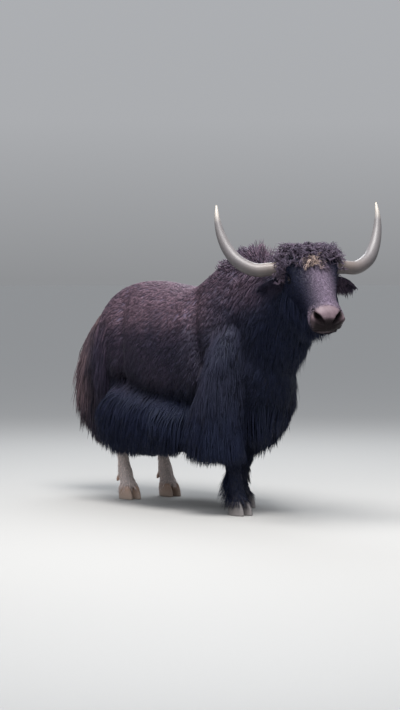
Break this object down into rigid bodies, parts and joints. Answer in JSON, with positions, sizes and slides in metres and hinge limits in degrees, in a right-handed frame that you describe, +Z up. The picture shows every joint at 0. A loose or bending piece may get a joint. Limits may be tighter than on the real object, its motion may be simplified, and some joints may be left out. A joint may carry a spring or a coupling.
{
  "type": "yak",
  "caption": "Standing long-haired yak bull with a hanging skirt of coat, curly forelock, bushy tail and wide upturned horns; a still, life-size model.",
  "frame": {"origin": "on the floor, under the middle of the animal's box", "axes": "+X forwards along the body, +Y the animal's left, +Z up"},
  "size_m": [2.4382, 0.8342, 1.5916],
  "materials": {
    "black_coat": "long black hair, slightly glossy",
    "brown_coat": "long brown-black hair, matte",
    "face_coat": "short brown-black hair",
    "shank_coat": "short grey-tan hair",
    "horn": "satin, smooth horn",
    "eye": "wet, glossy",
    "hoof": "worn, matte"
  },
  "bodies": {
    "root": {"torso": "black_coat", "neck": "black_coat", "tail": "brown_coat", "head": "face_coat", "horn_left": "horn", "ear_left": "black_coat", "eye_left": "eye", "horn_right": "horn", "ear_right": "black_coat", "eye_right": "eye", "foreleg_left": "black_coat", "foreleg_left_claw_left": "hoof", "foreleg_left_claw_right": "hoof", "foreleg_right": "black_coat", "foreleg_right_claw_left": "hoof", "foreleg_right_claw_right": "hoof", "hindleg_left": "shank_coat", "hindleg_left_claw_left": "hoof", "hindleg_left_claw_right": "hoof", "hindleg_right": "shank_coat", "hindleg_right_claw_left": "hoof", "hindleg_right_claw_right": "hoof"}
  },
  "joints": []
}
